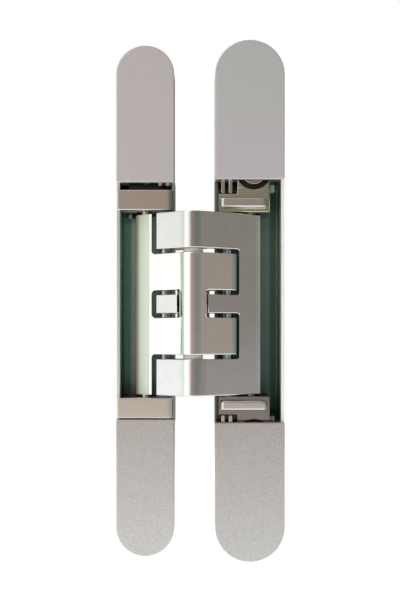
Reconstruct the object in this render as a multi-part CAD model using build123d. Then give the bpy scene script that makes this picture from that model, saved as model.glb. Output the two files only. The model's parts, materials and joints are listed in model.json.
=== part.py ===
"""Concealed door hinge with two scissor arms, shown open at 180 degrees.

X runs across the two bodies, Y into the wood and Z up. The origin is the middle of the
frame body on its front plane, which is flush with the face of the wood.
"""
from build123d import *
from math import atan2, cos, degrees, radians, sin, sqrt, tan
import os

# The two bodies: trays with a deep box in the middle and shallow ends
frame_width = 20.0          # width of the mortise in the frame
door_width = 24.0           # width of the mortise in the door
end_centres = 156.0         # between the centres of the two round ends
body_gap = 14.1             # between the bodies when the hinge is open
closed_gap = 5.0            # between the two front planes when the hinge is closed
wall = 1.2                  # side walls
body_depth = 24.5           # front plane to the back of the deep box
box_floor = 1.5             # floor of the deep box
end_depth = 13.0            # front plane to the back of the shallow ends
platform = 3.8              # floor of the shallow ends
box_end = 1.8               # end walls of the deep box
inner_wall_cut = 9.6        # depth at which the wall beside the arms starts
back_round = 1.0            # round on the back edges of the deep box

# Wood screws that fix the bodies
wood_screw_r = 2.5
wood_screw_sink_r = 4.6
wood_screw_step = 17.0      # between the outer and the inner screw of one end

# Covers
cover_thick = 2.5           # the rim of each body stands this far behind the front plane
cover_round = 0.4
cover_corner = 0.5          # inner corners, in the front view
door_cover_start = 1.1      # door covers start this much further out than the frame covers
cover_rib = 1.0             # locating rib behind a cover, width and height
cover_rib_start = 13.0      # from the cover's inner edge to the rib
fit_gap = 0.1               # between parts that slide or are pushed together

# Scissor arms
mechanism_drop = 1.1        # the arms' middle below the bodies' middle, as the hinge hangs at its lowest
centre_from_frame = 6.5     # centre pin from the frame body's inner edge
centre_ahead = 3.0          # centre pin in front of the front plane
pivot_depth = 6.0           # the two pivot pins behind the front plane
frame_pivot_inset = 3.3     # frame pivot from the frame body's inner edge
door_pivot_inset = 4.6      # door pivot from the door body's inner edge
knuckle_r = 5.4
eye_r = 3.2                 # around the pivot pins
left_slope = 39.0           # of the arms' flush faces, from the front plane
right_slope = 34.0
plate = 3.2                 # leg thickness at the knuckle
strip = 2.4                 # leg thickness at the shoulder
shoulder_r = 2.9            # around the guide pins
frame_guide_run = 19.4      # from the centre pin to a guide pin, along the face
door_guide_run = 22.7
frame_toe = 2.9             # from a guide pin to the middle of the leg's toe, along the face
door_toe = 1.9
toe_r = 0.5
face_drop = 0.15            # of the inner arm's left face behind its knuckle
shoulder_length = 4.0       # from the crease of the inner arm's shoulder to the guide pin
shoulder_fall = 9.0         # of that shoulder from the face
shoulder_run = 3.4          # from the leg's thin end to the guide pin
finger_tip_x = 12.9         # from the centre pin to the outer arm's finger tips
inner_finger_tip_x = 15.2   # from the centre pin to the inner arm's finger tips
tip_r = 0.5
arm_half = 31.4             # half height of the arms
tongue_half = 3.2           # half height of the outer arm's tongue and middle finger
inner_half = 17.4           # half height of the inner arm's knuckle
layer_gap = 1.5             # between the layers of the two arms, and a washer's room
arm_gap = 1.0               # between an inner finger's tip and the notch around it
finger_gap = 1.6            # between an outer finger's tip and the notch or window around it
window_round = 1.2          # corners of the window, in the front view
finger_notch_round = 1.0    # corners of the notches for the outer arm's end fingers
inner_notch_round = 0.8     # corners of the notches for the inner arm's fingers
tongue_notch_round = 1.5    # corners of the notch for the tongue
window_land = 0.4           # flat left beside the knuckle at the window
tongue_land = 1.3           # flat left beside the knuckle at the tongue
saddle_gap = 0.55           # between the tongue and the knuckle that it passes behind
saddle = 3.0                # thickness of the tongue behind the knuckle
web_gap = 0.3               # between the tongue and the web around the knuckle

# Pins, bushes and sleeves
centre_pin_r = 2.5
pin_recess = 0.3            # pin ends below the arm's ends
washer_r = 3.4
knuckle_bush_r = 3.3
knuckle_bush = 7.0          # length
pivot_pin_r = 1.75
pivot_bush_r = 2.5
pivot_flange_r = 3.0
guide_pin_r = 1.5
sleeve_r = 2.4
slot_gap = 0.2              # around a sleeve in its slot
run_gap = 0.05              # around a pin in its bush

# Frame blocks, adjusted for height
block_gap = 1.0             # arm to block
block_height = 7.0
block_cap = 1.2             # metal left above the pivot holes and guide slots
cover_gap = 1.5             # block to cover
block_side_gap = 0.3        # block to the side walls of its body
block_back_gap = 0.6        # block to the floor of its body
flange_inset = 0.3          # flange to the outer faces of the body
flange_round = 1.5          # round on the inner end of the flange
flange_corner = 0.8         # round on the flange's outer corner, beside the arms
edge_round = 0.4
frame_tab_width = 12.0
frame_tab_length = 11.8
tab_thick = 2.7
height_travel = 1.2         # each way from the bodies' middle
height_screw_r = 2.2
height_screw_spigot_r = 1.5
height_screw_inset = 2.9    # axis from the outer wall
height_screw_depth = 16.5   # axis behind the front plane
height_screw_reach = 2.6    # end of the upper one below its block
height_screw_recess = 1.0   # end of the lower one inside its block
socket_r = 1.25             # hexagon sockets, to the corners
socket_depth = 1.5

# Door carriages, adjusted sideways
side_travel = 1.3           # each way
carriage_gap = 0.6          # arm to carriage
carriage_width = 17.7
carriage_inset = 1.3        # carriage from the door body's inner edge
carriage_height = 8.3
carriage_step = 2.6         # depth of the flat face
ridge_height = 3.4
ridge_rise = 1.35           # ridge above the carriage's lower face
ridge_width = 16.0
ridge_inset = 0.5           # ridge from the carriage's end
ridge_ahead = 2.3
ridge_round = 1.4
ridge_edge = 0.8
carriage_chamfer = 0.7      # on the outer front edge
tab_round = 1.4
notch_width = 6.4
notch_height = 2.0
notch_depth = 1.8
door_tab_width = 11.2
door_tab_length = 12.3
door_tab_face = 3.0         # depth of the tab's front
counterbore_r = 6.0
counterbore = 2.6
stop_width = 1.8
stop_height = 2.6
stop_depth = 3.6

# Clamp screws
frame_head_r = 3.8
door_head_r = 4.2
head_height = 2.2
clamp_r = 2.0
clamp_end_gap = 0.2         # screw end inside the platform
clamp_from_cover = 4.3      # frame side's axis from the cover's inner edge
clamp_from_carriage = 5.6   # door side's axis from the carriage's top
door_clamp_x = 12.2         # axis from the carriage's inner end
key_r = 2.3                 # hexagon of the clamp screws, to the corners

# Spring clips of the covers
clip_thick = 0.8
clip_bar = 3.5
clip_rise = 0.8             # bar from the cover's inner edge
frame_leg_drop = 1.0        # legs past the frame cover's inner edge
door_leg_gap = 0.2          # legs from the floor of the carriage's notch
leg_width = 1.2
leg_step = 2.6              # between the two legs' middles
door_clip_x = 2.8           # clip's first leg from the door body's inner edge
frame_clip_x = 2.3          # clip's first leg from the frame body's inner edge

# Places that follow from the sizes above
frame_edge = frame_width / 2
door_edge = frame_edge + body_gap
door_x = door_edge + door_width / 2
floor_y = body_depth - box_floor
platform_y = end_depth - platform
block_z = arm_half + block_gap
block_top = block_z + block_height
cover_z = block_top + cover_gap
box_half = cover_z + box_end
door_cover_z = cover_z + door_cover_start
outer_z = inner_half + layer_gap
window_half = tongue_half + layer_gap
carriage_z = arm_half + carriage_gap
carriage_top = carriage_z + carriage_height
carriage_x = door_edge + carriage_inset
carriage_end = carriage_x + carriage_width
clamp_z = cover_z + clamp_from_cover
door_clamp = carriage_x + door_clamp_x
door_clamp_z = carriage_top + clamp_from_carriage
tab_back = platform_y - fit_gap

# Kinematics: both pivots and the centre pin in plan, open
centre = Vector(frame_edge + centre_from_frame, -centre_ahead)
frame_pivot = Vector(frame_edge - frame_pivot_inset, pivot_depth)
door_pivot = Vector(door_edge + door_pivot_inset, pivot_depth)


def turn_to_closed(pivot, side):
    """Degrees that the centre pin turns about a pivot until it lies midway between the closed fronts."""
    start = centre - pivot
    drop = pivot_depth + closed_gap / 2
    across = sqrt(start.length ** 2 - drop ** 2)
    return degrees(atan2(-drop, side * across) - atan2(start.Y, start.X))


outer_turn = turn_to_closed(frame_pivot, -1)
door_turn = -turn_to_closed(door_pivot, 1)
inner_turn = -180 - outer_turn - door_turn


def turned(point, about, angle):
    """A plan point turned about another."""
    return about + (point - about).rotate(Axis.Z, angle)


def left_face(run, depth):
    """A point under the arms' left faces: a run along the face from beside the centre pin, and a depth."""
    along = Vector(-cos(radians(left_slope)), sin(radians(left_slope)))
    inward = Vector(sin(radians(left_slope)), cos(radians(left_slope)))
    return centre + along * run + inward * (depth - knuckle_r)


def right_face(run, depth):
    """The same under the right faces."""
    along = Vector(cos(radians(right_slope)), sin(radians(right_slope)))
    inward = Vector(-sin(radians(right_slope)), cos(radians(right_slope)))
    return centre + along * run + inward * (depth - knuckle_r)


frame_guide = left_face(frame_guide_run, shoulder_r)
door_guide = right_face(door_guide_run, shoulder_r)
finger_run = (finger_tip_x - knuckle_r * sin(radians(left_slope))) / cos(radians(left_slope))
inner_finger_run = (inner_finger_tip_x - knuckle_r * sin(radians(right_slope))) / cos(radians(right_slope))


def frame_guide_at(share):
    """The inner arm's guide pin in the frame, at a share of the way to closed."""
    moved = turned(frame_guide, centre, inner_turn * share)
    return turned(moved, frame_pivot, outer_turn * share)


def door_guide_at(share):
    """The outer arm's guide pin as the door carriages see it, at a share of the way to closed."""
    moved = turned(door_guide, centre, -inner_turn * share)
    return turned(moved, door_pivot, -door_turn * share)


def upright(sketch, low, high):
    """A plan sketch raised from one height to another."""
    return extrude(Pos(0, 0, low) * sketch, high - low)


def inward(sketch, front, back):
    """A sketch of the front view (X across, Z up) carried into the wood."""
    return extrude(Plane.XZ.offset(-front) * sketch, front - back)


def both_ends(solid):
    """A solid and its mirror image below the middle."""
    return solid + mirror(solid, about=Plane.XY)


def dropped(solid):
    """A solid made about the arms' middle, moved to where the arms hang."""
    return Pos(0, 0, -mechanism_drop) * solid


def disc(point, radius):
    return Pos(point.X, point.Y) * Circle(radius)


def link(*discs):
    """The outline drawn tight around some discs, each a point and a radius."""
    return make_hull([edge for point, radius in discs for edge in disc(point, radius).edges()])


def bar(point, radius, low, high):
    """An upright round bar."""
    return upright(disc(point, radius), low, high)


def tube(point, outside, inside, low, high):
    return upright(disc(point, outside) - disc(point, inside), low, high)


def block(x0, x1, y0, y1, z0, z1):
    """A box between two corners."""
    return Pos(x0, y0, z0) * Box(x1 - x0, y1 - y0, z1 - z0, align=(Align.MIN, Align.MIN, Align.MIN))


def obround(width, inset=0.0):
    return Rot(0, 0, 90) * SlotCenterToCenter(end_centres, width - 2 * inset)


# Bodies
def screw_heights():
    """Heights of a body's four wood screws."""
    outer = end_centres / 2
    return (outer, outer - wood_screw_step, wood_screw_step - outer, -outer)


def body(width, middle, inner_side, cover_start):
    """A tray of zinc: shallow round ends, a deep box for the arms and a low wall on the inner side."""
    deep_box = inward(Rectangle(width, 2 * (cover_start + box_end)), cover_thick, body_depth)
    deep_box = fillet(deep_box.faces().sort_by(Axis.Y)[-1].edges(), back_round)
    tray = inward(obround(width), cover_thick, end_depth) + deep_box
    tray -= inward(obround(width, wall), 0, platform_y)
    tray -= inward(Rectangle(width - 2 * wall, 2 * cover_start), 0, floor_y)
    inner_wall = (width - wall) / 2 * inner_side
    tray -= Pos(inner_wall, 0, 0) * inward(Rectangle(wall + fit_gap, 2 * cover_start), 0, inner_wall_cut)
    for z in screw_heights():
        hole = CounterSinkHole(wood_screw_r, wood_screw_sink_r, platform, counter_sink_angle=90)
        tray -= Pos(0, platform_y, z) * Rot(90, 0, 0) * hole
    return Pos(middle, 0, 0) * tray


height_screw = Vector(wall + height_screw_inset - frame_edge, height_screw_depth)

frame_body = body(frame_width, 0, 1, cover_z)
frame_body -= both_ends(bar(height_screw, height_screw_spigot_r + run_gap, cover_z, box_half))
frame_body -= both_ends(Pos(0, 0, clamp_z) * inward(Circle(clamp_r + run_gap), platform_y, end_depth))

door_body = body(door_width, door_x, -1, door_cover_z)
door_clamp_hole = Pos(door_clamp, 0, door_clamp_z) * inward(Circle(clamp_r + run_gap), platform_y, end_depth)
door_body -= dropped(both_ends(door_clamp_hole))


# Covers and their spring clips
def cover(width, middle, start):
    """The upper cover of a body: a flat plate with a locating rib inside the rim."""
    keep = Pos(0, start) * Rectangle(width, end_centres, align=(Align.CENTER, Align.MIN))
    outline = obround(width) & keep
    outline = fillet(outline.vertices().group_by(Axis.Y)[0], cover_corner)
    face = inward(outline, 0, cover_thick)
    face = fillet(face.faces().sort_by(Axis.Y)[0].edges(), cover_round)
    ribbed = Pos(0, cover_rib_start) * keep
    rib = obround(width, wall + fit_gap) - obround(width, wall + fit_gap + cover_rib)
    return Pos(middle, 0, 0) * (face + inward(rib & ribbed, cover_thick, cover_thick + cover_rib))


def clip(first_leg, leg_end, start):
    """A bent spring strip behind an upper cover: a bar with two legs that end round at a height."""
    legs = Sketch()
    for leg in (first_leg, first_leg + leg_step):
        low = leg_end + leg_width / 2
        high = start + clip_rise + clip_bar / 2
        legs += Pos(leg, low) * Circle(leg_width / 2)
        legs += Pos(leg, low) * Rectangle(leg_width, high - low, align=(Align.CENTER, Align.MIN))
    strip_bar = Pos(first_leg + leg_step / 2, start + clip_rise) * Rectangle(
        leg_step + leg_width, clip_bar, align=(Align.CENTER, Align.MIN)
    )
    return inward(legs + strip_bar, cover_thick, cover_thick + clip_thick)


frame_cover = cover(frame_width, 0, cover_z)
door_cover = cover(door_width, door_x, door_cover_z)
frame_clip = clip(frame_edge - frame_clip_x - leg_step, cover_z - frame_leg_drop, cover_z)
door_leg_end = carriage_top - notch_height + door_leg_gap
upper_door_clip = clip(door_edge + door_clip_x, door_leg_end - mechanism_drop, door_cover_z)
lower_door_clip = clip(door_edge + door_clip_x, door_leg_end + mechanism_drop, door_cover_z)


# Arms
def leg(face, guide, guide_run, toe_run):
    """The section of a full-height leg: a plate under its face, a round shoulder and a toe flush with it."""
    thin = (face(guide_run - shoulder_run, strip / 2), strip / 2)
    toe = (face(guide_run + toe_run, toe_r), toe_r)
    return link((face(0, plate / 2), plate / 2), thin) + link(thin, (guide, shoulder_r), toe)


def finger(pivot, tip):
    """The section of a finger: knuckle, pivot eye and face tip."""
    return link((centre, knuckle_r), (pivot, eye_r), (tip, tip_r))


outer_tip = left_face(finger_run - tip_r, tip_r)
inner_tip = right_face(inner_finger_run - tip_r, tip_r)
outer_leg = leg(right_face, door_guide, door_guide_run, door_toe)
inner_leg = leg(left_face, frame_guide, frame_guide_run, frame_toe)

# The inner arm's left face lies a little behind its knuckle, and its shoulder falls away at a crease
crease = frame_guide_run - shoulder_length
shoulder_end = frame_guide_run + frame_toe + shoulder_length
shoulder_depth = face_drop + (shoulder_end - crease) * tan(radians(shoulder_fall))
inner_leg -= make_face(
    Polyline(
        left_face(-plate, -plate),
        left_face(-plate, face_drop),
        left_face(crease, face_drop),
        left_face(shoulder_end, shoulder_depth),
        left_face(shoulder_end, -plate),
        close=True,
    )
)

# Everything behind the two flush faces, which cross ahead of the centre pin
far = 3 * knuckle_r
crossing = -knuckle_r * tan(radians((left_slope + right_slope) / 4))
behind_faces = make_face(
    Polyline(
        left_face(far, 0),
        left_face(crossing, 0),
        right_face(far, 0),
        centre + Vector(far, 2 * far),
        centre + Vector(-far, 2 * far),
        close=True,
    )
)
saddle_r = knuckle_r + saddle_gap
saddle_disc = (centre, saddle_r + saddle)
tongue = link(saddle_disc, (frame_pivot, eye_r), (outer_tip, tip_r))
tongue += link(saddle_disc, (right_face(inner_finger_run, strip / 2), strip / 2))
tongue = (tongue & behind_faces) - disc(centre, saddle_r)

outer_finger = finger(frame_pivot, outer_tip)
inner_finger = finger(door_pivot, inner_tip)
outer_room_end = outer_tip.X - tip_r - finger_gap
inner_room_end = inner_tip.X + tip_r + arm_gap


def window(x0, x1, z0, z1, radius):
    """A front-view rectangle with round corners, right through the arms."""
    outline = Pos((x0 + x1) / 2, (z0 + z1) / 2) * RectangleRounded(x1 - x0, z1 - z0, radius)
    return inward(outline, centre.Y - far, centre.Y + 2 * far)


outer_arm = upright(outer_leg, -arm_half, arm_half)
outer_arm -= both_ends(
    window(centre.X - knuckle_r, inner_room_end, tongue_half, outer_z, inner_notch_round)
)
outer_arm -= bar(centre, saddle_r, -outer_z, outer_z)
outer_arm += both_ends(upright(outer_finger + outer_leg, outer_z, arm_half))
outer_arm += upright(tongue, -tongue_half, tongue_half)

window_end = left_face(0, 0).X - window_land
tongue_start = right_face(0, 0).X + tongue_land
tongue_way = tongue_half + web_gap
notch_top = arm_half + 2 * finger_notch_round
whole_knuckle = bar(centre, knuckle_r, -inner_half, inner_half)
web = bar(centre, saddle_r - web_gap, -inner_half, inner_half)
inner_arm = upright(inner_leg + disc(centre, knuckle_r) + inner_finger, -inner_half, inner_half)
inner_arm += both_ends(
    upright(inner_leg, inner_half, arm_half)
    - window(outer_room_end, centre.X + knuckle_r, inner_half, notch_top, finger_notch_round)
)
inner_arm -= window(outer_room_end, window_end, -window_half, window_half, window_round) - whole_knuckle
inner_arm -= window(tongue_start, tongue_start + far, -window_half, window_half, tongue_notch_round) - web
inner_arm -= window(centre.X - knuckle_r, tongue_start + far, -tongue_way, tongue_way, web_gap) - web

outer_arm -= bar(centre, centre_pin_r + run_gap, -arm_half, arm_half)
outer_arm -= bar(frame_pivot, pivot_pin_r + run_gap, -arm_half, arm_half)
outer_arm -= bar(door_guide, guide_pin_r, -arm_half, arm_half)
bush_low = inner_half - knuckle_bush
inner_arm -= bar(centre, centre_pin_r + run_gap, -inner_half, inner_half)
inner_arm -= both_ends(bar(centre, knuckle_bush_r, bush_low, inner_half))
inner_arm -= bar(door_pivot, pivot_pin_r + run_gap, -inner_half, inner_half)
inner_arm -= bar(frame_guide, guide_pin_r, -arm_half, arm_half)

# Pins, bushes, washers and sleeves
pin_top = block_top - block_cap
guide_top = pin_top - fit_gap
centre_pin = bar(centre, centre_pin_r, pin_recess - arm_half, arm_half - pin_recess)
centre_washer = tube(centre, washer_r, centre_pin_r + run_gap, inner_half + run_gap, outer_z - run_gap)
knuckle_bush_tube = tube(centre, knuckle_bush_r, centre_pin_r + run_gap, bush_low, inner_half)
frame_pivot_pin = bar(frame_pivot, pivot_pin_r, -pin_top, pin_top)
door_pivot_pin = bar(door_pivot, pivot_pin_r, -pin_top, pin_top)
frame_guide_pin = bar(frame_guide, guide_pin_r, -guide_top, guide_top)
door_guide_pin = bar(door_guide, guide_pin_r, -guide_top, guide_top)


def pivot_bush(pivot, seat):
    """A bush in a block with a flange between the block and the finger."""
    inside = pivot_pin_r + run_gap
    sleeve = tube(pivot, pivot_bush_r, inside, seat, pin_top)
    return sleeve + tube(pivot, pivot_flange_r, inside, arm_half + fit_gap, seat)


def guide_sleeve(guide, seat):
    return tube(guide, sleeve_r, guide_pin_r + run_gap, seat, guide_top)


frame_pivot_bush = pivot_bush(frame_pivot, block_z)
door_pivot_bush = pivot_bush(door_pivot, carriage_z)
frame_guide_sleeve = guide_sleeve(frame_guide, block_z)
door_guide_sleeve = guide_sleeve(door_guide, carriage_z)


# Frame blocks
def guide_slot(place):
    """The curved slot that a guide sleeve runs in, through three places of its path."""
    path = ThreePointArc(place(0), place(0.5), place(1))
    return SlotArc(path, 2 * (sleeve_r + slot_gap))


def hex_socket(radius):
    return RegularPolygon(radius, 6)


block_half = frame_edge - wall - block_side_gap
nose_x = frame_edge - flange_inset
frame_block = block(-block_half, block_half, cover_thick, floor_y - block_back_gap, block_z, block_top)
nose_back = inner_wall_cut - block_side_gap
frame_block += block(block_half, nose_x, cover_thick, nose_back, block_z, block_top)
flange = block(-nose_x, nose_x, fit_gap, cover_thick - fit_gap, block_z, block_top)
flange = fillet(flange.edges().filter_by(Axis.Z).group_by(Axis.X)[-1].sort_by(Axis.Y)[0], flange_round)
flange = fillet(flange.edges().filter_by(Axis.Y).group_by(Axis.X)[0].sort_by(Axis.Z)[0], flange_corner)
flange = fillet(flange.faces().sort_by(Axis.Y)[0].edges(), edge_round)
neck = block(-block_half, nose_x, cover_thick - 2 * fit_gap, cover_thick, block_z, block_top)
frame_block += flange + neck
tab_half = frame_tab_width / 2
tab_front = tab_back - tab_thick
frame_tab = block(-tab_half, tab_half, tab_front, tab_back, block_top, block_top + frame_tab_length)
tab_edges = frame_tab.edges().filter_by(Axis.Y).group_by(Axis.Z)[-1]
frame_block += fillet(tab_edges, clamp_r)
clamp_slot = SlotOverall(2 * (clamp_r + slot_gap + height_travel), 2 * (clamp_r + slot_gap), rotation=90)
frame_block -= Pos(0, 0, clamp_z) * inward(clamp_slot, tab_front, tab_back)
frame_block -= upright(guide_slot(frame_guide_at), block_z, pin_top)
frame_block -= bar(frame_pivot, pivot_bush_r, block_z, pin_top)
frame_block -= bar(height_screw, height_screw_r + fit_gap, block_z, block_top)
clip_room = height_travel + slot_gap
frame_block -= block(
    frame_edge - frame_clip_x - leg_step - leg_width, nose_x, cover_thick - fit_gap,
    cover_thick + clip_thick + slot_gap, cover_z - frame_leg_drop - clip_room, block_top
)


def height_screw_solid(low):
    """An upper height screw whose socket end is at a height, its spigot held in the end of the box."""
    screw = bar(height_screw, height_screw_r, low, cover_z - fit_gap)
    screw = chamfer(screw.faces().sort_by(Axis.Z)[0].edges(), edge_round)
    screw += bar(height_screw, height_screw_spigot_r, cover_z - fit_gap, box_half)
    key = Pos(height_screw.X, height_screw.Y) * hex_socket(socket_r)
    return screw - upright(key, low, low + socket_depth)


upper_height_screw = height_screw_solid(block_z - height_screw_reach)
lower_height_screw = mirror(height_screw_solid(block_z + height_screw_recess), about=Plane.XY)


def clamp_screw(x, z, seat, head_r):
    """A clamp screw: a flat head with a hexagon socket, its shank in the body's platform."""
    head = inward(Circle(head_r), seat - head_height, seat)
    head = fillet(head.faces().sort_by(Axis.Y)[0].edges(), edge_round)
    head -= inward(hex_socket(key_r), seat - head_height, seat - head_height + socket_depth)
    shank = inward(Circle(clamp_r), seat, end_depth - clamp_end_gap)
    return Pos(x, 0, z) * (head + shank)


frame_clamp_screw = clamp_screw(0, clamp_z, tab_front - fit_gap, frame_head_r)

# Door carriages
carriage_span = (carriage_z, carriage_top)
carriage_inner = door_edge + wall + side_travel + fit_gap
carriage = block(carriage_inner, carriage_end, carriage_step, floor_y - block_back_gap, *carriage_span)
front_corner = carriage.edges().filter_by(Axis.Z).group_by(Axis.X)[-1].sort_by(Axis.Y)[0]
carriage = chamfer(front_corner, carriage_chamfer)
carriage += block(carriage_x, carriage_end, carriage_step, inner_wall_cut - block_side_gap, *carriage_span)
ridge_x = carriage_x + ridge_inset
ridge_z = carriage_z + ridge_rise
ridge_front = carriage_step - ridge_ahead
ridge = block(ridge_x, ridge_x + ridge_width, ridge_front, carriage_step, ridge_z, ridge_z + ridge_height)
ridge_ends = ridge.edges().filter_by(Axis.Z).group_by(Axis.Y)[0]
ridge = fillet(ridge_ends, ridge_round)
ridge_front_edges = [
    edge
    for side in (0, -1)
    for edge in ridge.faces().sort_by(Axis.Z)[side].edges().sort_by(Axis.Y)[:3]
]
carriage += fillet(ridge_front_edges, ridge_edge)
tab_x = carriage_end - door_tab_width
tab_end = carriage_top + door_tab_length
door_tab = block(tab_x, carriage_end, door_tab_face, tab_back, carriage_top, tab_end)
carriage += fillet(door_tab.edges().filter_by(Axis.Y).group_by(Axis.Z)[-1], tab_round)
counterbore_floor = door_tab_face + counterbore
carriage -= Pos(door_clamp, 0, door_clamp_z) * inward(Circle(counterbore_r), carriage_step, counterbore_floor)
side_slot = SlotOverall(2 * (clamp_r + slot_gap + side_travel), 2 * (clamp_r + slot_gap))
carriage -= Pos(door_clamp, 0, door_clamp_z) * inward(side_slot, counterbore_floor, tab_back)
notch_back = carriage_step + notch_depth
carriage -= block(
    carriage_x, carriage_x + notch_width, carriage_step, notch_back, carriage_top - notch_height, carriage_top
)
carriage -= upright(guide_slot(door_guide_at), carriage_z, pin_top)
carriage -= bar(door_pivot, pivot_bush_r, carriage_z, pin_top)

door_clamp_screw = clamp_screw(door_clamp, door_clamp_z, counterbore_floor - fit_gap, door_head_r)
stop_front = carriage_step + notch_depth
stop_z = carriage_top - stop_height / 2
travel_stop = block(
    carriage_end, carriage_end + stop_width, stop_front, stop_front + stop_depth, stop_z, stop_z + stop_height
)
travel_stop = fillet(travel_stop.faces().sort_by(Axis.X)[-1].edges(), edge_round)

# Single pieces in the bodies, then those that hang with the arms
in_bodies = {
    "frame_body": frame_body,
    "door_body": door_body,
    "frame_upper_height_screw": upper_height_screw,
    "frame_lower_height_screw": lower_height_screw,
    "door_upper_cover_clip": upper_door_clip,
    "door_lower_cover_clip": mirror(lower_door_clip, about=Plane.XY),
}
with_arms = {
    "outer_arm": outer_arm,
    "inner_arm": inner_arm,
    "centre_pin": centre_pin,
    "frame_pivot_pin": frame_pivot_pin,
    "door_pivot_pin": door_pivot_pin,
    "inner_arm_guide_pin": frame_guide_pin,
    "outer_arm_guide_pin": door_guide_pin,
}
# Pieces with an upper one, given here, and a lower one that mirrors it
pairs_in_bodies = {
    "frame_{}_cover": frame_cover,
    "frame_{}_cover_clip": frame_clip,
    "frame_{}_clamp_screw": frame_clamp_screw,
    "door_{}_cover": door_cover,
}
pairs_with_arms = {
    "frame_{}_block": frame_block,
    "frame_{}_pivot_bush": frame_pivot_bush,
    "inner_arm_{}_sleeve": frame_guide_sleeve,
    "{}_centre_washer": centre_washer,
    "{}_knuckle_bush": knuckle_bush_tube,
    "outer_arm_{}_sleeve": door_guide_sleeve,
    "door_{}_carriage": carriage,
    "door_{}_pivot_bush": door_pivot_bush,
    "door_{}_clamp_screw": door_clamp_screw,
    "door_{}_travel_stop": travel_stop,
}


def upper_and_lower(pairs):
    """Each pair's two pieces by name."""
    both = {name.format("upper"): solid for name, solid in pairs.items()}
    both.update({name.format("lower"): mirror(solid, about=Plane.XY) for name, solid in pairs.items()})
    return both


pieces = {**in_bodies, **upper_and_lower(pairs_in_bodies)}
hanging = {**with_arms, **upper_and_lower(pairs_with_arms)}
pieces.update({name: dropped(solid) for name, solid in hanging.items()})
os.makedirs("parts", exist_ok=True)
for name, solid in pieces.items():
    export_step(solid, f"parts/{name}.step")
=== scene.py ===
import json
import math

import bmesh
import bpy
import numpy as np
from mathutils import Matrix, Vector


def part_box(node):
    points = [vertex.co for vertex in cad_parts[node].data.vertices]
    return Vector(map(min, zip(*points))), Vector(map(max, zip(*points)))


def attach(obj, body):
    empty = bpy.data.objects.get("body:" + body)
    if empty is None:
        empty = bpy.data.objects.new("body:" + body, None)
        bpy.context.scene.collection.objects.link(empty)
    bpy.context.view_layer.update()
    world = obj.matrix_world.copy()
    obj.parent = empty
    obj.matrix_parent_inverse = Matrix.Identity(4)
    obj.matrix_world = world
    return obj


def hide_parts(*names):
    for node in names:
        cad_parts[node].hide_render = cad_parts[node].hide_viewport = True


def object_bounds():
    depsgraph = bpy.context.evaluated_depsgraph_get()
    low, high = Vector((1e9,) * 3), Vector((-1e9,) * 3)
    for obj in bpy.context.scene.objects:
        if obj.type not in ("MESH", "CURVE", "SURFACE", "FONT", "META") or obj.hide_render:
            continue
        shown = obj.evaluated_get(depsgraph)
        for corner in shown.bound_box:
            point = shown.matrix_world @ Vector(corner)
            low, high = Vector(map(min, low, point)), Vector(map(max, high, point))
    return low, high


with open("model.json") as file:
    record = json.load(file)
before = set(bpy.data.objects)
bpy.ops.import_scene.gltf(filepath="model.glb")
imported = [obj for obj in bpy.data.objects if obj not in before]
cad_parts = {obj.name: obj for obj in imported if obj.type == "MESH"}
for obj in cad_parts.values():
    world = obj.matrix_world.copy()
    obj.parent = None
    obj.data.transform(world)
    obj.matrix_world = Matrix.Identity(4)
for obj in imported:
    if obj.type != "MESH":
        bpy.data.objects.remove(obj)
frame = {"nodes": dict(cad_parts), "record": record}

cad_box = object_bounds()

# Frame and door bodies: the two trays that sit in the mortises, die cast in zinc and plated
# a satin nickel. The deep box in the middle is painted dark as shade inside it, and the rims
# take their own tones, the door's rim painted white as a highlight.
mm = 0.001
merge_within = 0.001 * mm
flat_within = math.radians(0.5)
corner_from = math.radians(30)
crease_from = math.radians(12)
bend_from = math.radians(3)
wide_from = 1.6 * mm
everywhere = 1.0
largest_face_leads = 100
usual_noise = (0.3, 0.7)


def colour(red, green, blue):
    """A linear colour from the 0 to 255 values that a screen shows, by the sRGB curve."""
    shown = np.array([red, green, blue]) / 255
    linear = np.where(shown <= 0.04045, shown / 12.92, ((shown + 0.055) / 1.055) ** 2.4)
    return (*linear.tolist(), 1.0)


def placed(name, data):
    """A new object in the scene, at the origin."""
    thing = bpy.data.objects.new(name, data)
    bpy.context.scene.collection.objects.link(thing)
    return thing


def body_of(node):
    """The body that a node belongs to."""
    bodies = frame["record"]["behaviour"]["bodies"]
    return next(body for body, names in bodies.items() if node in names)


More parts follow.
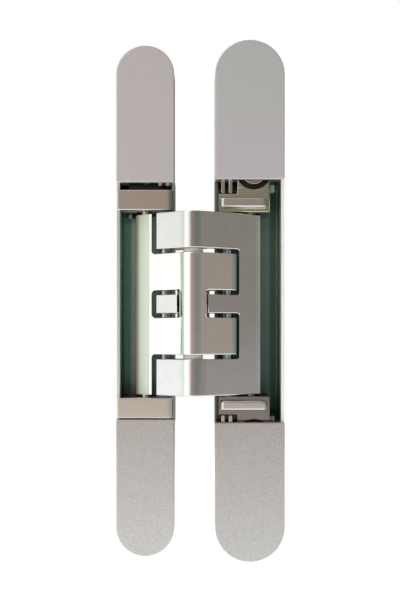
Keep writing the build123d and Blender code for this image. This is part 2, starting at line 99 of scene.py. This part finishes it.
def finished(node, edge, material, segments=2, deepest=everywhere, highest=everywhere):
    """A copy of a node's mesh that stands for the node. Its doubles are merged, its flat faces
    joined, and each corner that turns by more than corner_from made a round of the given width, as
    far into the wood and away from the middle as said. Its shading breaks where it turns by more
    than crease_from, at an inside bend of a wide face and where two wide faces meet."""
    shape = bmesh.new()
    shape.from_mesh(frame["nodes"][node].data)
    bmesh.ops.remove_doubles(shape, verts=shape.verts, dist=merge_within)
    bmesh.ops.dissolve_limit(shape, angle_limit=flat_within, verts=shape.verts, edges=shape.edges)
    for face in shape.faces:
        face.smooth = True
    weight = shape.edges.layers.float.new("bevel_weight_edge")
    for corner in shape.edges:
        angle = corner.calc_face_angle(0.0)
        near = all(end.co.y < deepest and abs(end.co.z) < highest for end in corner.verts)
        wide = [face.calc_area() > wide_from * corner.calc_length() for face in corner.link_faces]
        bent_in = any(wide) and corner.calc_face_angle_signed(0.0) < -bend_from
        flats_meet = all(wide) and angle > flat_within
        corner[weight] = float(near and angle > corner_from)
        corner.smooth = angle < crease_from and not (bent_in or flats_meet)
    mesh = bpy.data.meshes.new(f"{node}_finished")
    shape.to_mesh(mesh)
    shape.free()
    for name in ("custom_normal", "sharp_face"):
        if name in mesh.attributes:
            mesh.attributes.remove(mesh.attributes[name])
    mesh.materials.append(material)
    piece = placed(mesh.name, mesh)
    round_edges = piece.modifiers.new("edge round", "BEVEL")
    round_edges.width = edge
    round_edges.segments = segments
    round_edges.limit_method = "WEIGHT"
    round_edges.use_clamp_overlap = False
    even = piece.modifiers.new("even shading", "WEIGHTED_NORMAL")
    even.weight = largest_face_leads
    even.keep_sharp = True
    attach(piece, body_of(node))
    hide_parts(node)


class Pattern:
    """A node tree, and short calls that add the nodes of a pattern to it. Each input of a node is
    either a plain value or another node's output."""

    def __init__(self, tree, coordinates):
        self.nodes = tree.nodes
        self.links = tree.links
        self.point = self.add("TexCoord", {}).outputs[coordinates]

    def feed(self, node, inputs):
        """Sets or links inputs of a node."""
        for socket, value in inputs.items():
            if isinstance(value, bpy.types.NodeSocket):
                self.links.new(value, node.inputs[socket])
            else:
                node.inputs[socket].default_value = value

    def add(self, kind, inputs, **settings):
        """A new node of a kind, with its settings and inputs."""
        node = self.nodes.new(f"ShaderNode{kind}")
        for setting, value in settings.items():
            setattr(node, setting, value)
        self.feed(node, inputs)
        return node

    def noise(self, grain, detail=2.0, stretch=(1, 1, 1)):
        """Soft noise whose grain is a length in metres, longer along an axis by its stretch."""
        drawn = self.add("Mapping", {"Vector": self.point, "Scale": [1 / s for s in stretch]})
        spots = {"Vector": drawn.outputs[0], "Scale": 1 / grain, "Detail": detail}
        return self.add("TexNoise", spots).outputs["Fac"]

    def flakes(self, size):
        """Random grey cells of a size in metres, as the flakes in a metallic coat lie."""
        cells = self.add("TexVoronoi", {"Vector": self.point, "Scale": 1 / size})
        return self.add("SeparateColor", {0: cells.outputs["Color"]}).outputs[0]

    def part(self, axis):
        """The coordinate along one axis."""
        return self.add("SeparateXYZ", {0: self.point}).outputs[axis]

    def along(self, axis, start, end):
        """0 before start and 1 after end, along one axis."""
        return self.spread(self.part(axis), start, end, 0, 1)

    def spread(self, value, low, high, to_low, to_high):
        """A value's range from low to high spread over another range, and held at its ends."""
        ranges = {"From Min": low, "From Max": high, "To Min": to_low, "To Max": to_high}
        return self.add("MapRange", {"Value": value, **ranges}).outputs[0]

    def between(self, share, start, end):
        """A value that goes from start, where the share is 0, to end, where it is 1."""
        return self.spread(share, 0, 1, start, end)

    def wander(self, noise, low, high):
        """A value that wanders between two limits as a noise does over its usual range."""
        return self.spread(noise, *usual_noise, low, high)

    def worked(self, how, first, second):
        """One step of arithmetic with two values."""
        return self.add("Math", {0: first, 1: second}, operation=how).outputs[0]

    def times(self, product, *factors):
        """The product of some values."""
        for factor in factors:
            product = self.worked("MULTIPLY", product, factor)
        return product

    def mix(self, share, first, second, kind="MIX"):
        """The first colour where the share is 0, and the second one where it is 1. The colours of a
        Mix node are its inputs 6 and 7 and its output 2."""
        colours = {0: share, 6: first, 7: second}
        return self.add("Mix", colours, data_type="RGBA", blend_type=kind).outputs[2]

    def shade(self, tone, by, share=1.0):
        """A colour multiplied by another one or by a grey value, as far as the share says."""
        return self.mix(share, tone, by, "MULTIPLY")


class Finish(Pattern):
    """A material with one Principled shader, and its pattern on the piece's own coordinates."""

    def __init__(self, name, metallic=1.0):
        self.material = bpy.data.materials.new(name)
        self.material.use_nodes = True
        super().__init__(self.material.node_tree, "Object")
        self.give("Metallic", metallic)

    def give(self, socket, value):
        """Sets or links one input of the shader."""
        self.feed(self.nodes["Principled BSDF"], {socket: value})

    def grain(self, height, depth):
        """Bump from a pattern, with its full depth in metres."""
        made = self.add("Bump", {"Height": height, "Distance": depth, "Strength": 1.0})
        self.give("Normal", made.outputs[0])


body_edge = 0.15 * mm
body_wall = 1.2 * mm
body_floor = 1.5 * mm
body_dull = colour(200, 196, 190)
body_bright = colour(216, 212, 205)
body_cloud = 3 * mm
body_patch = 0.4 * mm
body_rough = (0.3, 0.5)
body_grain = 0.25 * mm
body_grain_depth = 0.006 * mm
# Each rim's colour and its share of bare metal; the door's is a white painted highlight
frame_rim = colour(236, 241, 234), 1.0
door_rim_highlight = colour(255, 255, 252), 0.0
rim_run = (3.2 * mm, 2.8 * mm)
# The painted shade's colours on the floor, along the corner and on the outer wall
frame_shade_tones = colour(205, 222, 216), colour(128, 178, 163), colour(190, 222, 206)
door_shade_tones = colour(130, 150, 153), colour(86, 118, 108), colour(228, 250, 216)
# Where the painted shade starts, as shares of the thickness of a wall or of the floor
outer_wall_run = (0.7, 0.95)
wall_face_run = (1.3, 1.1)
inner_wall_run = (0.05, 0.2)
floor_run = (0.4, 0.8)
frame_channel = 41.0 * mm
door_channel = 42.1 * mm
channel_run = 0.6 * mm
corner_width = 3.4 * mm
corner_run = 0.9 * mm
# Painted shade: darker towards the bottom, and its own tone with less metal at the lip
shade_fade = (-36 * mm, 20 * mm)
bottom_shade_share = 0.5
lip_painted_tone = colour(176, 184, 174)
lip_metal = 0.3
lip_run = (8.0 * mm, 3.0 * mm)


def body_finish(node, side, channel_half, rim, rim_metal, channel_shade, corner_shade, wall_painted_tone):
    """Satin nickel outside one body and painted shade inside it, on its low inner wall too, which
    is on the given side. The painted shade has its own tones on the outer wall's face and at the
    lip, where it has less metal, is darker and greener along the corner under the outer wall, and
    is darker towards the bottom."""
    finish = Finish(f"{node}_nickel")
    low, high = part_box(node)
    outer, inner = (low.x, high.x) if side > 0 else (high.x, low.x)
    past_outer = finish.along("X", *(outer + side * share * body_wall for share in outer_wall_run))
    past_inner = finish.along("X", *(inner - side * share * body_wall for share in inner_wall_run))
    before_back = finish.along("Y", *(high.y - share * body_floor for share in floor_run))
    below_top = finish.along("Z", channel_half + channel_run, channel_half)
    above_bottom = finish.along("Z", -channel_half - channel_run, -channel_half)
    in_channel = finish.times(below_top, above_bottom)
    inside = finish.times(past_outer, past_inner, before_back, in_channel)
    on_rim = finish.along("Y", *rim_run)
    outside = finish.mix(finish.noise(body_cloud), body_dull, body_bright)
    # The rims' tones; the door's rim is a white painted highlight without metal
    outside = finish.mix(on_rim, outside, rim)
    # Painted shade inside the channel, darker in the corner and towards the bottom
    corner = outer + side * corner_width
    in_corner = finish.along("X", corner + side * corner_run, corner)
    on_wall = finish.along("X", *(outer + side * share * body_wall for share in wall_face_run))
    dark = finish.mix(in_corner, channel_shade, corner_shade)
    dark = finish.mix(on_wall, dark, wall_painted_tone)
    dark = finish.shade(dark, finish.between(finish.along("Z", *shade_fade), bottom_shade_share, 1))
    at_lip = finish.along("Y", *lip_run)
    dark = finish.mix(at_lip, dark, lip_painted_tone)
    finish.give("Base Color", finish.mix(inside, outside, dark))
    metal = finish.between(finish.times(inside, at_lip), 1, lip_metal)
    rim_unmetalled = finish.times(on_rim, finish.between(inside, 1 - rim_metal, 0))
    finish.give("Metallic", finish.worked("SUBTRACT", metal, rim_unmetalled))
    finish.give("Roughness", finish.wander(finish.noise(body_patch), *body_rough))
    finish.grain(finish.noise(body_grain), body_grain_depth)
    return finish.material


frame_nickel = body_finish("frame_body", 1, frame_channel, *frame_rim, *frame_shade_tones)
finished("frame_body", body_edge, frame_nickel)
door_nickel = body_finish("door_body", -1, door_channel, *door_rim_highlight, *door_shade_tones)
finished("door_body", body_edge, door_nickel)

# Frame blocks: two cast zinc sliders that carry the frame side's pivot pin and guide slot.
# Each slides up and down in the frame body, and its flange shows beside the cover.
levels = ("upper", "lower")
# Tones at the top and at the bottom, painted light and shade, and ahead of the flats
block_tones = colour(208, 197, 184), colour(248, 240, 234), colour(222, 212, 202)
block_light_fade = (-20 * mm, 20 * mm)
ahead_run = (2.3 * mm, 0.9 * mm)
block_end = (7.2 * mm, 8.5 * mm)
# The right end's painted shade, and its share low down
end_shade = colour(201, 223, 226)
end_shade_low_share = 0.5
block_hollow = 9.0 * mm
# The height where each tab starts, and its way from there
block_tabs = (38.4 * mm, 1), (-40.6 * mm, -1)
# The dark painted shade in the hollows and on the tabs under the covers
deep_shade = colour(58, 64, 58)
tab_run = 0.3 * mm
sand_grain = 0.35 * mm
sand_detail = 4
sand_noise = (0.35, 0.65)
sand_shade = (0.97, 1.02)
block_patch = 0.6 * mm
block_rough = (0.29, 0.34)
block_grain = 0.25 * mm
block_grain_depth = 0.002 * mm


def coat(node, material):
    """Gives a node that keeps its own mesh a material."""
    frame["nodes"][node].data.materials.clear()
    frame["nodes"][node].data.materials.append(material)


def block_finish(name, high, low, ahead_tone, end_run, hollow, tabs=()):
    """Cast zinc under thin nickel, with a fine sandy grain. Its tone changes towards the top as
    painted light and shade. What stands ahead of the flats, as a carriage's ridge does, takes
    another tone. The right end, over a run along X, takes a darker, cooler painted shade, most of
    all at the top. In hollows past a depth, and on the tabs under the covers, a dark painted shade
    is laid."""
    finish = Finish(name)
    # Painted light and shade: the tone changes towards the top
    upward = finish.along("Z", *block_light_fade)
    tone = finish.mix(upward, low, high)
    # Another tone ahead of the flats, where a carriage's ridge stands
    tone = finish.mix(finish.along("Y", *ahead_run), tone, ahead_tone)
    # Painted shade at the right end, darker and cooler, most of all at the top
    at_end = finish.times(finish.along("X", *end_run), finish.between(upward, end_shade_low_share, 1))
    tone = finish.shade(tone, end_shade, at_end)
    # Dark painted shade in hollows past a depth and on the tabs under the covers
    tone = finish.mix(finish.along("Y", hollow, hollow + tab_run), tone, deep_shade)
    for start, way in tabs:
        tone = finish.mix(finish.along("Z", start, start + way * tab_run), tone, deep_shade)
    sand = finish.spread(finish.noise(sand_grain, sand_detail), *sand_noise, *sand_shade)
    finish.give("Base Color", finish.shade(tone, sand))
    finish.give("Roughness", finish.wander(finish.noise(block_patch), *block_rough))
    finish.grain(finish.noise(block_grain), block_grain_depth)
    return finish.material


block_zinc = block_finish("block_zinc", *block_tones, block_end, block_hollow, block_tabs)
for level in levels:
    coat(f"frame_{level}_block", block_zinc)

# Door carriages: two cast zinc sliders that carry the door side's pivot pin and guide slot.
# A ridge along each one guides it sideways, and a clamp screw holds its tab.
carriage_edge = 0.2 * mm
carriage_seen = 6.0 * mm
carriage_cover = 50.0 * mm
# Tones at the top and at the bottom, painted light and shade, and ahead of the flats
carriage_tones = colour(195, 195, 175), colour(156, 145, 140), colour(211, 210, 206)
carriage_end = (42.0 * mm, 43.2 * mm)
carriage_hollow = 3.9 * mm

carriage_zinc = block_finish("carriage_zinc", *carriage_tones, carriage_end, carriage_hollow)
for level in levels:
    finished(f"door_{level}_carriage", carriage_edge, carriage_zinc,
             deepest=carriage_seen, highest=carriage_cover)

# Pivot bushes, knuckle bushes, sleeves, washers and travel stops: moulded in a pale blue-grey
# nylon, the washers in a white one. The bushes are pressed in, and the sleeves turn on the guide
# pins in their slots.
sides = ("frame", "door")
bush_pieces = [f"{side}_{level}_pivot_bush" for side in sides for level in levels]
bush_pieces += [f"{arm}_arm_{level}_sleeve" for arm in ("outer", "inner") for level in levels]
bush_pieces += [f"{level}_knuckle_bush" for level in levels]
bush_pieces += [f"door_{level}_travel_stop" for level in levels]
washer_pieces = [f"{level}_centre_washer" for level in levels]
nylon_edge = 0.1 * mm
bush_tones = colour(118, 132, 144), colour(158, 170, 180)
bush_rough = 0.42
washer_tones = colour(232, 224, 218), colour(246, 240, 234)
washer_rough = 0.2
nylon_cloud = 1.5 * mm
nylon_clearness = 0.1
nylon_reach = 0.8 * mm
nylon_reach_shares = (0.75, 0.9, 1.0)
nylon_grain = 0.15 * mm
nylon_grain_depth = 0.004 * mm


def nylon_finish(name, dark, pale, roughness):
    """Moulded nylon: cloudy, a little see-through and finely grained."""
    finish = Finish(name, metallic=0.0)
    finish.give("Base Color", finish.mix(finish.noise(nylon_cloud), dark, pale))
    finish.give("Roughness", roughness)
    finish.give("Subsurface Weight", nylon_clearness)
    finish.give("Subsurface Radius", nylon_reach_shares)
    finish.give("Subsurface Scale", nylon_reach)
    finish.grain(finish.noise(nylon_grain), nylon_grain_depth)
    return finish.material


bush_nylon = nylon_finish("bush_nylon", *bush_tones, bush_rough)
for node in bush_pieces:
    finished(node, nylon_edge, bush_nylon)
washer_nylon = nylon_finish("washer_nylon", *washer_tones, washer_rough)
for node in washer_pieces:
    finished(node, nylon_edge, washer_nylon)

# Outer and inner arm: the two cast zinc scissor arms, plated a bright satin nickel. Their
# knuckles turn on the centre pin, and their front edges are tumbled to a small round.
arm_edge = 0.3 * mm
arm_segments = 3
# Tones at the top and at the bottom, and the painted reflection in the hollow
outer_tones = colour(226, 226, 222), colour(222, 222, 222), colour(206, 213, 203)
inner_tones = colour(255, 248, 243), colour(255, 249, 246), colour(172, 186, 163)
arm_fade = (-31 * mm, 31 * mm)
hollow_start = 11.9 * mm
hollow_middle = 13.1 * mm
hollow_end = 14.1 * mm
# The right side's painted reflection, its run along X and its drop along Z
outer_right_reflection = colour(237, 239, 246), (20.2 * mm, 21.4 * mm), (-4 * mm, -25 * mm)
inner_right_reflection = colour(186, 217, 204), (29.6 * mm, 31.2 * mm), (41 * mm, 40 * mm)
arm_cloud = 4 * mm
arm_cloud_shade = (0.97, 1.02)
shoulder_run = (1.6 * mm, 0.8 * mm)
# The shoulder's painted reflection and the painted highlight at its far end
shoulder_reflection_tone = colour(230, 243, 224)
shoulder_edge_highlight = colour(176, 165, 140)
edge_highlight_run = (-2.1 * mm, -3.1 * mm)
polish_patch = 0.5 * mm
polished = 0.12
polish_change = 0.03
cast_rough = 0.55
arm_grain = 0.2 * mm
arm_grain_detail = 3
arm_grain_depth = 0.003 * mm


def arm_finish(name, high, low, hollow, right, right_run, right_drop):
    """Bright satin nickel: its tone changes a little towards the top, with faint clouds and a fine
    grain. The shoulder at the left end has a pale tone without metal as a painted reflection, with
    a brown painted highlight at its far end, and the hollow left of the knuckle has a strip of
    painted reflection. The right side takes a painted reflection over a run along X and a drop
    along Z."""
    finish = Finish(name)
    tone = finish.mix(finish.along("Z", *arm_fade), low, high)
    # A strip of painted reflection in the hollow left of the knuckle
    in_hollow = finish.times(finish.along("X", hollow_start, hollow_middle),
                             finish.along("X", hollow_end, hollow_middle))
    tone = finish.mix(in_hollow, tone, hollow)
    # Painted reflection on the right side, over a run along X and a drop along Z
    on_right = finish.times(finish.along("X", *right_run), finish.along("Z", *right_drop))
    tone = finish.mix(on_right, tone, right)
    tone = finish.shade(tone, finish.wander(finish.noise(arm_cloud), *arm_cloud_shade))
    # Painted reflection on the shoulder: a pale tone without metal, brown at its far end
    shoulder = finish.along("X", *shoulder_run)
    shoulder_reflection = finish.mix(finish.along("X", *edge_highlight_run), shoulder_reflection_tone, shoulder_edge_highlight)
    finish.give("Base Color", finish.mix(shoulder, tone, shoulder_reflection))
    finish.give("Metallic", finish.between(shoulder, 1, 0))
    patches = finish.noise(polish_patch)
    polish = finish.wander(patches, polished - polish_change, polished + polish_change)
    cast = finish.times(shoulder, cast_rough - polished)
    finish.give("Roughness", finish.worked("ADD", polish, cast))
    finish.grain(finish.noise(arm_grain, arm_grain_detail), arm_grain_depth)
    return finish.material


outer_nickel = arm_finish("outer_arm_nickel", *outer_tones, *outer_right_reflection)
finished("outer_arm", arm_edge, outer_nickel, arm_segments)
inner_nickel = arm_finish("inner_arm_nickel", *inner_tones, *inner_right_reflection)
finished("inner_arm", arm_edge, inner_nickel, arm_segments)

# Pins and clamp screws: turned steel, the pins zinc plated with a bluish tone and the screws
# with a warm one. The pins are pressed into the arms and blocks, and the screws' hexagon
# sockets are pressed in cold.
pin_pieces = ["centre_pin", "frame_pivot_pin", "door_pivot_pin"]
pin_pieces += ["outer_arm_guide_pin", "inner_arm_guide_pin"]
clamp_pieces = [f"{side}_{level}_clamp_screw" for side in sides for level in levels]
pin_edge = 0.12 * mm
head_edge = 0.3 * mm
pin_tones = colour(176, 186, 196), colour(206, 212, 218)
clamp_tones = colour(164, 157, 144), colour(186, 178, 164)
steel_cloud = 1.0 * mm
steel_rough = (0.29, 0.38)
ring_grain = 0.12 * mm
ring_stretch = (6, 1, 6)
ring_depth = 0.003 * mm


def steel_finish(name, dark, pale):
    """Turned steel under a thin plating: cloudy, with fine rings left by the tool."""
    finish = Finish(name)
    finish.give("Base Color", finish.mix(finish.noise(steel_cloud), dark, pale))
    rings = finish.noise(ring_grain, stretch=ring_stretch)
    finish.give("Roughness", finish.wander(rings, *steel_rough))
    finish.grain(rings, ring_depth)
    return finish.material


pin_steel = steel_finish("pin_steel", *pin_tones)
for node in pin_pieces:
    finished(node, pin_edge, pin_steel)
clamp_steel = steel_finish("clamp_steel", *clamp_tones)
for node in clamp_pieces:
    finished(node, head_edge, clamp_steel)

# Height screws: two socket grub screws of plated steel, turned with a key from inside the
# channel. Their threads are rolled, and the plain spigot at the far end turns in the frame body.
thread_pitch = 0.8 * mm
thread_depth = 0.42 * mm
thread_steps = 10
screw_chamfer = 0.4 * mm
socket_half = 1.08 * mm
socket_depth = 1.5 * mm
socket_side = math.pi / 3
spigot_r = 1.5 * mm
spigot_length = 1.9 * mm
spigot_edge = 0.15 * mm
columns = 72


def grub_screw(node, way):
    """A closed surface of rings round an upright axis, one for each height and with one point for
    each angle, from the middle of the socket's floor to the middle of the spigot's end. The
    socket's radius is its half width over the cosine of the angle to the middle of a side. The
    thread's radius falls from the outer one by its depth times the distance, from 0 to 1, to the
    crest that winds up one pitch a turn."""
    low, high = (np.array(corner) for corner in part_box(node))
    outer = (high[0] - low[0]) / 2
    total = high[2] - low[2]
    length = total - spigot_length
    angle = np.arange(columns) * math.tau / columns
    socket = socket_half / np.cos((angle + socket_side / 2) % socket_side - socket_side / 2)
    at = np.linspace(0, length, round(length / thread_pitch * thread_steps))[:, None]
    turn = (at / thread_pitch - way * angle / math.tau) % 1
    thread = outer - thread_depth * np.abs(2 * turn - 1)
    thread = np.minimum(thread, np.minimum(outer - screw_chamfer + at, spigot_r + length - at))
    plain = np.ones(columns)
    radius = np.vstack([socket, socket, thread, spigot_r * plain, (spigot_r - spigot_edge) * plain])
    along = np.concatenate([[socket_depth, 0], at[:, 0], [total - spigot_edge, total]])
    start = low[2] if way > 0 else high[2]
    middle = (low + high) / 2
    rings = np.stack([middle[0] + radius * np.cos(angle), middle[1] + radius * np.sin(angle),
                      start + way * along[:, None] * plain], axis=-1).reshape(-1, 3)
    poles = [[middle[0], middle[1], start + way * height] for height in (socket_depth, total)]
    place = np.arange(len(rings)).reshape(-1, columns)
    onward = np.roll(place, -1, axis=1)
    walls = np.stack([place[:-1], onward[:-1], onward[1:], place[1:]], axis=-1).reshape(-1, 4)
    floor_fan = np.column_stack([onward[0], place[0], np.full(columns, len(rings))])
    end_fan = np.column_stack([place[-1], onward[-1], np.full(columns, len(rings) + 1)])
    faces = [face[::way] for face in walls.tolist() + floor_fan.tolist() + end_fan.tolist()]
    mesh = bpy.data.meshes.new(f"{node}_threaded")
    mesh.from_pydata(np.vstack([rings, poles]).tolist(), [], faces)
    mesh.shade_smooth()
    mesh.set_sharp_from_angle(angle=corner_from)
    mesh.materials.append(pin_steel)
    screw = placed(mesh.name, mesh)
    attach(screw, body_of(node))
    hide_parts(node)


grub_screw("frame_upper_height_screw", 1)
grub_screw("frame_lower_height_screw", -1)

# Cover clips: bent from bright spring steel strip. They are pushed over the bodies' ends, and
# the covers snap onto their prongs.
clip_edge = 0.12 * mm
strip_tones = colour(198, 190, 178), colour(228, 222, 212)
strip_rough = 0.22
rolling_grain = 0.1 * mm
rolling_stretch = (1, 1, 12)
rolling_depth = 0.002 * mm

strip = Finish("spring_steel")
rolling = strip.noise(rolling_grain, stretch=rolling_stretch)
strip.give("Base Color", strip.mix(rolling, *strip_tones))
strip.give("Roughness", strip_rough)
strip.grain(rolling, rolling_depth)
for node in [f"{side}_{level}_cover_clip" for side in sides for level in levels]:
    finished(node, clip_edge, strip.material)

# Covers: four cast plates with a satin nickel paint, flush with the wood. The paint's metal
# flakes have their glints painted into the colour, most of all on the lower covers, and a rib
# behind each one snaps on its clip.
paint_metal = 0.4
upper_run = (-40 * mm, 40 * mm)
door_run = (12 * mm, 24 * mm)
# The door covers' share of tone, darker as painted shade
door_shade_share = 0.94
# The lower covers' tones, lighter towards the bottom as painted light from below
lower_tones = colour(206, 205, 204), colour(190, 184, 181)
lower_light_fade = (-85 * mm, -43 * mm)
upper_frame_tones = colour(213, 206, 201), colour(211, 208, 210)
upper_frame_cloud = 14 * mm
# The upper door cover's tones, greener towards the top as a painted sheen
upper_door_sheen_tones = colour(217, 212, 216), colour(208, 214, 211)
upper_door_sheen_fade = (50 * mm, 80 * mm)
flake_size = 0.22 * mm
# The painted glints of the flakes, stronger on the lower covers than the upper
sparkle_run = (-45 * mm, 45 * mm)
sparkle_low = 0.15
sparkle_high = 0.04
paint_patch = 0.5 * mm
paint_rough = (0.41, 0.49)
paint_grain = 0.18 * mm
paint_grain_detail = 3
paint_grain_depth = 0.004 * mm

paint = Finish("cover_paint", paint_metal)
on_door = paint.along("X", *door_run)
# Painted light: the lower covers lighter towards the bottom
lower_tone = paint.mix(paint.along("Z", *lower_light_fade), *lower_tones)
frame_tone = paint.mix(paint.noise(upper_frame_cloud), *upper_frame_tones)
# Painted sheen: the upper door cover greener towards the top
door_tone = paint.mix(paint.along("Z", *upper_door_sheen_fade), *upper_door_sheen_tones)
upper_tone = paint.mix(on_door, frame_tone, door_tone)
paint_tone = paint.mix(paint.along("Z", *upper_run), lower_tone, upper_tone)
sparkle = paint.between(paint.along("Z", *sparkle_run), sparkle_low, sparkle_high)
glint = paint.times(paint.between(paint.flakes(flake_size), -1, 1), sparkle)
# The painted glints of the flakes, and the painted shade on the door's covers
bright = paint.worked("ADD", glint, paint.between(on_door, 1, door_shade_share))
paint.give("Base Color", paint.shade(paint_tone, bright))
paint.give("Roughness", paint.wander(paint.noise(paint_patch), *paint_rough))
paint.grain(paint.noise(paint_grain, paint_grain_detail), paint_grain_depth)
for node in [f"{side}_{level}_cover" for side in sides for level in levels]:
    coat(node, paint.material)

# Studio: a plain pale floor under the hinge and soft light all round, white from the left, bright
# from below and from straight above, and dim from the right. The camera stands level in front of
# the hinge and sees plain white behind it.
white = colour(255, 255, 255)
floor_half = 0.4
floor_tone = colour(150, 150, 149)
floor_rough = 0.8
floor_glow = 1.0

floor_corners = np.array([(-1, -1), (1, -1), (1, 1), (-1, 1)]) * floor_half
floor_points = np.column_stack([floor_corners, np.full(len(floor_corners), cad_box[0][2])])
floor_mesh = bpy.data.meshes.new("floor")
floor_mesh.from_pydata(floor_points.tolist(), [], [(0, 1, 2, 3)])
floor = placed("floor", floor_mesh)
floor_paint = Finish("pale_floor", metallic=0.0)
floor_paint.give("Base Color", floor_tone)
floor_paint.give("Roughness", floor_rough)
floor_paint.give("Emission Color", white)
floor_paint.give("Emission Strength", floor_glow)
floor_mesh.materials.append(floor_paint.material)

# Light by direction, as degrees round the hinge from the camera, positive to the right, and
# brighter than a screen's 255 at the softboxes on the left
surround = {
    -180: (130, 115, 98), -128: (150, 138, 118), -114: (196, 208, 188), -90: (204, 216, 198),
    -83: (272, 272, 272), -66: (272, 272, 272), -60: (304, 304, 304), -42: (304, 304, 304),
    -35: (272, 272, 272), -26: (269, 268, 266), -17: (190, 176, 169), -8: (168, 154, 148),
    0: (156, 143, 137), 9: (146, 136, 131), 20: (136, 131, 127), 32: (128, 128, 124),
    42: (126, 137, 127), 56: (126, 137, 127), 63: (152, 146, 139), 74: (150, 144, 137),
    86: (118, 128, 120), 110: (84, 108, 94), 180: (130, 115, 98),
}
# Its strength by height, from 0 straight below to 1 straight above
light_by_rise = {0: 1.25, 0.4: 1.25, 0.5: 1.0, 0.62: 0.8, 0.75: 1.0, 1: 1.7}


def ramp(pattern, place, stops):
    """Colours by a place on a scale from 0 to 1, from a table whose first stop is at 0."""
    made = pattern.add("ValToRGB", {0: place})
    elements = made.color_ramp.elements
    elements.remove(elements[1])
    for at, tone in stops.items():
        stop = elements[0] if at == 0 else elements.new(at)
        stop.position = at
        stop.color = tone
    return made.outputs[0]


world = bpy.data.worlds.new("studio")
bpy.context.scene.world = world
world.use_nodes = True
sky = Pattern(world.node_tree, "Generated")
turn = sky.worked("ARCTAN2", sky.part("X"), sky.times(sky.part("Y"), -1))
ring_tones = {(degrees + 180) / 360: colour(*shown) for degrees, shown in surround.items()}
ring = ramp(sky, sky.spread(turn, -math.pi, math.pi, 0, 1), ring_tones)
rise_greys = {at: (strength, strength, strength, 1) for at, strength in light_by_rise.items()}
rise = ramp(sky, sky.along("Z", -1, 1), rise_greys)
to_camera = sky.add("LightPath", {}).outputs["Is Camera Ray"]
light = sky.mix(to_camera, sky.shade(ring, rise), white)
sky.feed(sky.nodes["Background"], {"Color": light})

camera_place = (18.9 * mm, -400 * mm, -12 * mm)
camera_level = (math.pi / 2, 0, 0)
camera_lens = 69.68
camera_sensor = 36.0
camera_shift = 0.0595
camera_nearest = 10 * mm

camera = placed("camera", bpy.data.cameras.new("camera"))
camera.location = camera_place
camera.rotation_euler = camera_level
camera.data.sensor_fit = "VERTICAL"
camera.data.sensor_height = camera_sensor
camera.data.lens = camera_lens
camera.data.shift_y = camera_shift
camera.data.clip_start = camera_nearest
bpy.context.scene.camera = camera
bpy.context.scene.view_settings.view_transform = "Standard"
